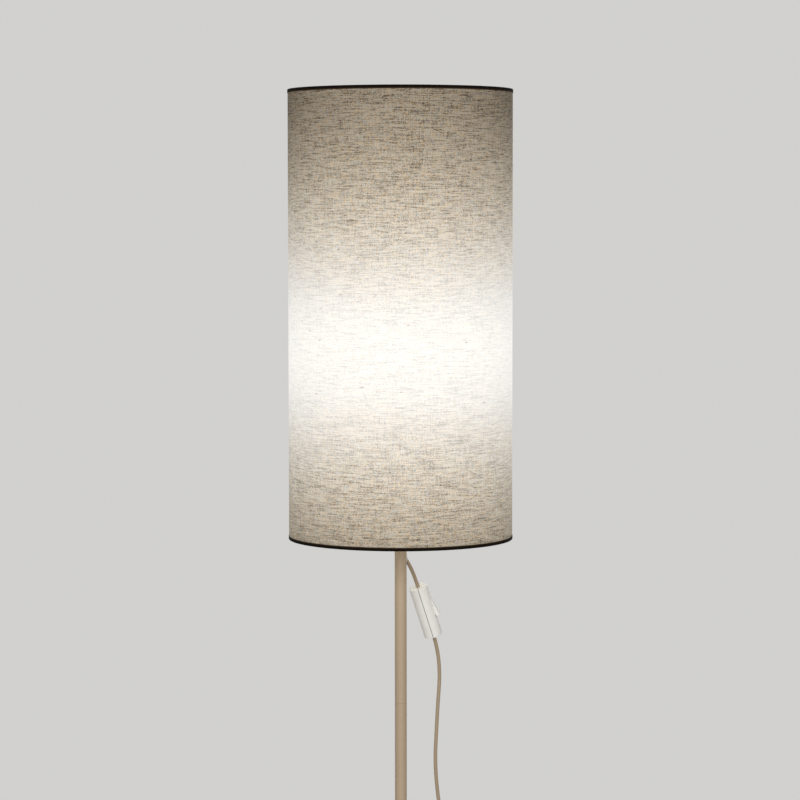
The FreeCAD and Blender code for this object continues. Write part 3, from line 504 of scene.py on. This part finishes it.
# %% Plain finishes of the lamp
sand = srgb(170, 150, 125)
switch_colour, switch_roughness, switch_grain, switch_relief = srgb(231, 229, 223), 0.46, 0.0004, 0.00004
finishes = {
    "painted_sand": plain_finish("painted_sand", sand, 0.52, 0.0007, 0.00004),
    "felt": plain_finish("felt", srgb(58, 55, 54), 0.95, 0.0009, 0.0004),
    "zinc_steel": plain_finish("zinc_steel", srgb(196, 197, 200), 0.34, 0.0005, 0.00002, 1.0, 0.0, 0.0005),
    "holder_plastic": plain_finish("holder_plastic", srgb(226, 223, 216), 0.42, 0.0006, 0.00003),
    "porcelain": plain_finish("porcelain", srgb(232, 230, 224), 0.22, 0.002, 0.00003, 0.0, 0.5),
    "brass": plain_finish("brass", srgb(214, 182, 108), 0.30, 0.0006, 0.00002, 1.0),
    "wire_sleeve": plain_finish("wire_sleeve", srgb(120, 78, 50), 0.45, 0.0006, 0.00002),
    "bulb_shell": plain_finish("bulb_shell", srgb(205, 205, 204), 0.24, 0.0008, 0.00002, 1.0),
    "bulb_bead": plain_finish("bulb_bead", srgb(24, 24, 26), 0.18, 0.001, 0.00002, 0.0, 0.4),
    "bulb_collar": plain_finish("bulb_collar", srgb(232, 232, 230), 0.40, 0.0006, 0.00002),
    "frame_white": plain_finish("frame_white", srgb(224, 222, 216), 0.40, 0.0008, 0.00004),
    "cord_sleeve": plain_finish("cord_sleeve", srgb(158, 139, 114), 0.50, 0.0006, 0.00004),
    "switch_white": plain_finish(
        "switch_white", switch_colour, switch_roughness, switch_grain, switch_relief
    ),
    "plug_white": plain_finish("plug_white", srgb(229, 226, 219), 0.44, 0.0005, 0.00004),
    "pin_nickel": plain_finish("pin_nickel", srgb(208, 205, 198), 0.25, 0.0006, 0.00001, 1.0, 0.0, 0.0004),
    "tie_strap": plain_finish("tie_strap", srgb(42, 41, 43), 0.90, 0.0006, 0.0003),
}
print(f"{len(finishes)} plain finishes")

# %% [markdown]
# ## The lit linen
# Undyed linen is woven from uneven yarn. Where a yarn is thick it lets less light through, so the lit
# shade shows brown slubs that lie along the weft, fine upright threads, and here and there a knot.
# The cloth's own flat coordinates, in metres, place them. A row number and a column number, each
# taken as a noise coordinate, give every yarn its own unevenness. The bulb behind the cloth makes it
# glow most at the bulb's height, where the weave shows least, and less and warmer further off. That
# glow is an emission, so it stays in other light.

# %% Linen finish
shade_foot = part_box("shade_linen")[0].z
shade_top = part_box("shade_linen")[1].z
globe_low, globe_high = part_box("bulb_globe")
bulb_centre = globe_high.z - (globe_high.x - globe_low.x) / 2
glow_lift = 0.005
glow_centre = bulb_centre + glow_lift
glow_reach = 0.203
glow_peak = 1.08
unlit_share = 0.30
weft_pitch = 0.0009
warp_pitch = 0.0013
thread_stride = 3.713
first_thread = 0.31
slub_length, long_slub_length = 0.014, 0.045
weft_wander, warp_wander, tint_wander = 0.023, 0.020, 0.006
noise_span = (0.28, 0.72)
knot_apart_along, knot_apart_up = 0.050, 0.012


def glow_at(tree, height):
    """How much of the lamp's light comes through at a height, from 0 to about 1."""
    off = (height - glow_centre) / glow_reach
    return glow_peak / (off * off + 1.0)


def linen_finish():
    """Uneven yarns both ways, slubs and knots, and the bulb's light that comes through them."""
    made, tree = new_finish("linen")
    cloth = tree.add("ShaderNodeUVMap", {"uv_map": "cloth"})
    along, up, _ = tree.split(cloth)
    row = (up / weft_pitch).floor() * thread_stride + first_thread
    column = (along / warp_pitch).floor() * thread_stride + first_thread

    def weft_yarn(length, seed, detail=2.0):
        """Unevenness along each weft yarn, which its neighbours don't share."""
        return noise(tree, tree.join(along / length, row, seed), 1.0, detail)

    def warp_yarn(length, seed, detail=2.0):
        """The same along each upright yarn."""
        return noise(tree, tree.join(column, up / length, seed), 1.0, detail)

    slubs = weft_yarn(slub_length, 1.0, 4.0).between(0.58, 0.72)
    long_slubs = weft_yarn(long_slub_length, 5.0, 4.0).between(0.59, 0.74)
    weft = weft_yarn(weft_wander, 9.0, 5.0).between(*noise_span)
    warp = warp_yarn(warp_wander, 13.0, 5.0).between(*noise_span)
    crossing = noise(tree, tree.join(column, row, 29.0), 1.0, 0.0).between(*noise_span)
    cloud = noise(tree, tree.join(along / 0.05, up / 0.02, 17.0), 1.0)
    cells = {"Vector": tree.join(along / knot_apart_along, up / knot_apart_up, 0.0), "Scale": 1.0}
    knots = 1.0 - tree.add("ShaderNodeTexVoronoi", None, cells).between(0.03, 0.08)
    tint = warp_yarn(tint_wander, 21.0) * 0.65 + weft_yarn(tint_wander, 25.0) * 0.35
    pick = (up * (math.pi / weft_pitch)).sine() * (along * (math.pi / warp_pitch)).sine()
    dark = slubs * 0.36 + long_slubs * 0.22
    bright = (weft - 0.5) * 0.90 + (warp - 0.5) * 0.32
    bright = bright + (crossing - 0.5) * 0.56 + (cloud - 0.5) * 0.12
    tone = (1.08 - dark + bright + pick * 0.03).most(0.2)

    thread = tree.mix(tint.between(0.38, 0.62), (0.91, 1.0, 1.11), (1.08, 1.0, 0.87))
    base = tree.mix((tone - knots * 0.4) * 1.2 - 0.47, srgb(66, 51, 32), srgb(166, 152, 133))
    base = tree.add("ShaderNodeVectorMath", {"operation": "MULTIPLY"}, {0: base, 1: thread})
    level = (glow_at(tree, up + shade_foot) - unlit_share).most(0.0)
    calm = level.between(0.10, 0.75) * 0.75 + 0.20
    seen = (tone + (1.03 - tone) * calm) * (1.0 - knots * 0.28)
    warm = tree.mix(level * 1.75 - 0.2, srgb(255, 242, 221), srgb(250, 251, 250))
    warm = tree.mix(seen.between(0.4, 0.95), srgb(250, 226, 196), warm)
    even = tree.mix(calm, thread, (1.0, 1.0, 1.0))
    coloured = tree.add("ShaderNodeVectorMath", {"operation": "MULTIPLY"}, {0: warm, 1: even})
    glow = tree.add("ShaderNodeVectorMath", {"operation": "SCALE"}, {0: coloured, "Scale": level * seen})
    height = tone * 0.6 + pick * 0.3
    close_finish(
        tree,
        Base_Color=base,
        Roughness=0.92,
        Specular_IOR_Level=0.2,
        Emission_Color=glow,
        Emission_Strength=1.0,
        Normal=relief(tree, height, 0.00025),
    )
    return made


finishes["linen"] = linen_finish()


# %% [markdown]
# ## Lining and bulb
# The lining is white laminate that the bulb lights from inside, and the bulb is an opal globe. Real
# light through glass and paper is slow to render and is lost in an exported model, so both glow by
# themselves, and dimly enough that the rings and arms inside can still be made out.

# %% Lining and bulb
def lining_finish():
    """White laminate that glows most at the bulb's height, as the cloth outside it does."""
    made, tree = new_finish("lining")
    place = tree.add("ShaderNodeTexCoord", None, None, "Object")
    _, _, z = tree.split(place)
    level = glow_at(tree, z) * 0.34 + 0.03
    glow = tree.mix(level, srgb(18, 16, 13), srgb(255, 254, 251))
    grain = noise(tree, place, 900.0)
    close_finish(
        tree,
        Base_Color=tree.mix(grain, srgb(234, 232, 227), srgb(242, 240, 236)),
        Roughness=0.6,
        Emission_Color=glow,
        Emission_Strength=1.0,
        Normal=relief(tree, grain, 0.00004),
    )
    return made


def opal_finish():
    """Lit opal glass, a little dimmer towards its foot."""
    made, tree = new_finish("bulb_opal")
    place = tree.add("ShaderNodeTexCoord", None, None, "Object")
    _, _, z = tree.split(place)
    grain = noise(tree, place, 300.0)
    height = z.between(globe_low.z - 0.004, bulb_centre)
    close_finish(
        tree,
        Base_Color=tree.mix(grain, srgb(244, 242, 236), srgb(250, 249, 245)),
        Roughness=0.25,
        Emission_Color=tree.mix(height, srgb(222, 213, 198), srgb(255, 254, 251)),
        Emission_Strength=1.30,
    )
    return made


finishes["lining"] = lining_finish()
finishes["bulb_opal"] = opal_finish()


# %% [markdown]
# ## The edge tape
# A dark brown woven tape is folded over each rim of the shade and glued inside and out. A lighter
# brown line runs along its free edge. Fine ribs run across it.

# %% Tape finish
tape_width = 0.0038
pale_edge_width = 0.0011
pale_edge_fade = 0.0008
rib_pitch = 0.0006


def tape_finish():
    """Dark ribbed tape with a lighter line along its free edge."""
    made, tree = new_finish("trim_tape")
    along, across, _ = tree.split(tree.add("ShaderNodeUVMap", {"uv_map": "cloth"}))
    ribs = (along * (math.pi / rib_pitch)).sine() * 0.5 + 0.5
    fuzz = noise(tree, tree.join(along / 0.0011, across / 0.0005, 0.0), 1.0, 3.0)
    frayed = across + fuzz * pale_edge_fade
    pale_edge = 1.0 - frayed.between(pale_edge_width, pale_edge_width + pale_edge_fade)
    dark = tree.mix(fuzz, srgb(9, 6, 4), srgb(24, 17, 12))
    light = tree.mix(fuzz, srgb(40, 29, 18), srgb(82, 64, 44))
    close_finish(
        tree,
        Base_Color=tree.mix(pale_edge * 0.8, dark, light),
        Roughness=0.88,
        Specular_IOR_Level=0.06,
        Normal=relief(tree, ribs * 0.5 + fuzz * 0.5, 0.0002),
    )
    return made


finishes["trim_tape"] = tape_finish()

# %% [markdown]
# ## The switch's seam and its painted shade
# The switch's case is two half shells, and the narrow gap between them lies in shade, which this
# finish paints. A painted line would slide off the gap when a size changes, so the finish works out
# how far each point lies from the plane that parts the shells, and paints shade on the plastic next
# to it along the barrel.

# %% Seam finish
switch_turn = math.radians(-45.0)
seam_half = 0.00030
seam_fade = 0.00018
end_fade = 0.0008


def seam_shade_finish():
    """The switch's white plastic, with painted shade in the gap between its two shells."""
    turn = Matrix.Rotation(cord_azimuth, 3, "Z") @ Matrix.Rotation(-switch_tilt, 3, "Y")
    across_way = turn @ Matrix.Rotation(switch_turn, 3, "Z") @ Vector((1.0, 0.0, 0.0))
    made, tree = new_finish("switch_shell_seam_shade")
    place = tree.add("ShaderNodeTexCoord", None, None, "Object")
    points = {0: place, 1: tuple(in_switch(0.0))}
    offset = tree.add("ShaderNodeVectorMath", {"operation": "SUBTRACT"}, points)

    def along(way):
        """How far each point lies along a way, from the centre of the switch's top."""
        values = {0: offset, 1: tuple(way)}
        return tree.add("ShaderNodeVectorMath", {"operation": "DOT_PRODUCT"}, values, 1)

    beside = along(across_way).size()
    down = along(switch_down)
    barrel = down.between(0.0, end_fade) * (switch_length - down).between(0.0, end_fade)
    painted_gap_shade = (1.0 - beside.between(seam_half, seam_half + seam_fade)) * barrel
    fine, tone, gloss = waver(tree, place, switch_colour, switch_roughness, switch_grain)
    close_finish(
        tree,
        # Painted shade: the plastic turns dark grey brown along the seam.
        Base_Color=tree.mix(painted_gap_shade * 0.85, tone, srgb(70, 64, 56)),
        Roughness=gloss,
        Normal=relief(tree, fine, switch_relief),
    )
    return made


# %% [markdown]
# ## Finishes on the imported pieces
# The record names a finish for each piece, so one loop gives them all out. The shells then get their
# own, with painted shade in their seam.

# %% Dress the nodes
for subpart in frame["record"]["subparts"]:
    node = nodes[subpart["node"]]
    node.data.materials.clear()
    node.data.materials.append(finishes[subpart["material_slot"]])
seam_shaded = seam_shade_finish()
for name in ("switch_front_shell", "switch_back_shell"):
    nodes[name].data.materials[0] = seam_shaded
for cord in (upper_cord, lower_cord):
    cord.data.materials.append(finishes["cord_sleeve"])

# %% [markdown]
# ## Shapes that follow a rule
# The cloth is a flat sheet bent round a drum until its ends lap, and the tape is a flat strip folded
# over a rim. Both could be modelled by hand, but each follows a rule, so each is a small Geometry
# Nodes tree with named inputs. A tree is run once for each piece, and its result is kept as a plain
# mesh.


# %% Geometry helpers
def shape_tree(name, inputs):
    """A geometry tree with a named input for each size, and the sockets that carry them."""
    group = bpy.data.node_groups.new(name, "GeometryNodeTree")
    for label, value in inputs.items():
        kind = "NodeSocketInt" if isinstance(value, int) else "NodeSocketFloat"
        group.interface.new_socket(label, in_out="INPUT", socket_type=kind)
    group.interface.new_socket("Finish", in_out="INPUT", socket_type="NodeSocketMaterial")
    group.interface.new_socket("Geometry", in_out="OUTPUT", socket_type="NodeSocketGeometry")
    tree = Tree(group)
    start = group.nodes.new("NodeGroupInput")
    given = {label: Socket(tree, start.outputs[label]) for label in [*inputs, "Finish"]}
    return tree, given


def close_shape(tree, given, geometry):
    """Ends a geometry tree with real, smooth and dressed faces."""
    real = tree.add("GeometryNodeRealizeInstances", None, {"Geometry": geometry})
    smooth = tree.add("GeometryNodeSetShadeSmooth", None, {"Geometry": real})
    dressed = tree.add("GeometryNodeSetMaterial", None, {"Geometry": smooth, "Material": given["Finish"]})
    end = tree.tree.nodes.new("NodeGroupOutput")
    tree.tree.links.new(dressed.socket, end.inputs["Geometry"])
    return tree.tree


def grow(name, group, inputs, finish):
    """Runs a geometry tree and keeps what it makes as a plain mesh."""
    piece = bpy.data.objects.new(name, bpy.data.meshes.new(name + "_seed"))
    scene.collection.objects.link(piece)
    modifier = piece.modifiers.new("shape", "NODES")
    modifier.node_group = group
    values = dict(inputs, Finish=finish)
    for item in group.interface.items_tree:
        if item.in_out == "INPUT":
            modifier[item.identifier] = values[item.name]
    piece.update_tag()
    graph = bpy.context.evaluated_depsgraph_get()
    mesh = bpy.data.meshes.new_from_object(piece.evaluated_get(graph), depsgraph=graph)
    piece.modifiers.clear()
    piece.data = mesh
    print(f"{name}: {len(mesh.polygons)} faces")
    return piece


def wrap(tree, given, length, width, across_steps):
    """A flat grid with its flat coordinates kept, and the distance along and across it."""
    sizes = {
        "Size X": length,
        "Size Y": width,
        "Vertices X": given["Steps around"],
        "Vertices Y": across_steps,
    }
    grid = tree.add("GeometryNodeMeshGrid", None, sizes)
    x, y, _ = tree.split(tree.add("GeometryNodeInputPosition"))
    along = x + length * 0.5
    across = y + width * 0.5
    settings = {"data_type": "FLOAT2", "domain": "CORNER"}
    values = {"Geometry": grid, "Name": "cloth", "Value": tree.join(along, across, 0.0)}
    return tree.add("GeometryNodeStoreNamedAttribute", settings, values), along, across


def lap_rise(given, along, circumference):
    """How far the sheet stands out where its end laps over its start."""
    ramp = given["Lap"]
    return (along - circumference + ramp).between(0.0, ramp) * given["Thickness"]


# %% [markdown]
# ## The cloth of the drum
# The real cloth is one strip, glued to its lining and lapped by a finger's width at the back. A
# cylinder would have no lap and no edge to see. Here the flat strip is bent by its distance along,
# and its end rises over its start, so the seam is where a maker puts it. Solidify then gives the skin
# its thickness.

# %% Linen drum
cloth_share = 0.95
drum = {
    "Radius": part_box("shade_linen")[1].x,
    "Foot": shade_foot,
    "Height": shade_top - shade_foot,
    "Thickness": 0.0006,
    "Lap": 0.012,
    "Seam turn": math.radians(98.0),
    "Steps around": 289,
    "Steps up": 61,
}


def linen_tree():
    """A sheet bent round a drum, with its end lapped over its start."""
    tree, given = shape_tree("linen_drum", drum)
    circumference = given["Radius"] * (2 * math.pi)
    length = circumference + given["Lap"]
    sheet, along, across = wrap(tree, given, length, given["Height"], given["Steps up"])
    radius = given["Radius"] + lap_rise(given, along, circumference)
    turn = given["Seam turn"] + along / given["Radius"]
    place = tree.join(radius * turn.cosine(), radius * turn.sine(), given["Foot"] + across)
    bent = tree.add("GeometryNodeSetPosition", None, {"Geometry": sheet, "Position": place})
    return close_shape(tree, given, bent)


def give_wall(piece, thickness):
    """Turns a single skin into a wall that grows inwards."""
    wall = piece.modifiers.new("wall", "SOLIDIFY")
    wall.thickness = thickness
    wall.offset = -1.0
    wall.use_even_offset = True


linen = grow("shade_cloth", linen_tree(), drum, finishes["linen"])
give_wall(linen, drum["Thickness"] * cloth_share)

# %% [markdown]
# ## The shape of the tapes
# Each tape is folded over its rim from outside to inside. A bevelled ring would look alike from afar,
# but a folded strip has the free edges and the lap of the real one. It also has to climb over
# whatever lies under it: the cloth's lap at its start, and that and its own first layer at its end.

# %% Edge tapes
tape_thickness = 0.0004
layer_gap = 0.0001
fold_radius = 0.0010
tape_stands_off = 0.0005
rim_inset = 0.0004
tape = {
    "Radius": drum["Radius"] + tape_stands_off,
    "Edge": shade_top,
    "Way": 1.0,
    "Width": tape_width,
    "Fold radius": fold_radius,
    "Layer": tape_thickness + layer_gap,
    "Thickness": drum["Thickness"],
    "Lap": drum["Lap"],
    "Seam turn": drum["Seam turn"],
    "Steps around": 289,
    "Steps across": 25,
}


def tape_tree():
    """A strip folded over a rim, with its lap on the cloth's. Way is 1 at the top and -1 at the bottom."""
    tree, given = shape_tree("edge_tape", tape)
    circumference = given["Radius"] * (2 * math.pi)
    length = circumference + given["Lap"]
    leg = given["Width"]
    bend = given["Fold radius"] * math.pi
    strip, along, across = wrap(tree, given, length, leg * 2.0 + bend, given["Steps across"])
    turn_over = ((across - leg) / bend).most(0.0).least(1.0) * math.pi
    lap = given["Lap"]
    ending = (along - circumference + lap).between(0.0, lap)
    cloth_lap = (ending + 1.0 - along.between(lap, lap * 2.0)) * given["Thickness"]
    own_lap = ending * given["Layer"]
    half_fold = given["Fold radius"] + cloth_lap * 0.5 + own_lap
    radius = given["Radius"] + cloth_lap + own_lap - half_fold * (1.0 - turn_over.cosine())
    below = (leg - across).most(0.0) + (across - leg - bend).most(0.0)
    height = given["Edge"] + given["Way"] * (given["Fold radius"] * turn_over.sine() - below)
    half_lap = lap / given["Radius"] * 0.5
    turn = given["Seam turn"] + half_lap + (along / given["Radius"] - half_lap) * given["Way"]
    place = tree.join(radius * turn.cosine(), radius * turn.sine(), height)
    folded = tree.add("GeometryNodeSetPosition", None, {"Geometry": strip, "Position": place})
    return close_shape(tree, given, folded)


tape_group = tape_tree()
rims = {"top": (shade_top - rim_inset, 1.0), "bottom": (shade_foot + rim_inset, -1.0)}
for rim, (edge, way) in rims.items():
    piece = grow(f"{rim}_edge_tape", tape_group, dict(tape, Edge=edge, Way=way), finishes["trim_tape"])
    give_wall(piece, tape_thickness)
    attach(piece, "lamp")
    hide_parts(f"shade_{rim}_trim")

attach(linen, "lamp")
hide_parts("shade_linen")

# %% [markdown]
# ## What the cords are
# The short one ends in the switch, and the long one in its plug, with its spare length wound and
# tied on the floor.

in_switch(switch_length)
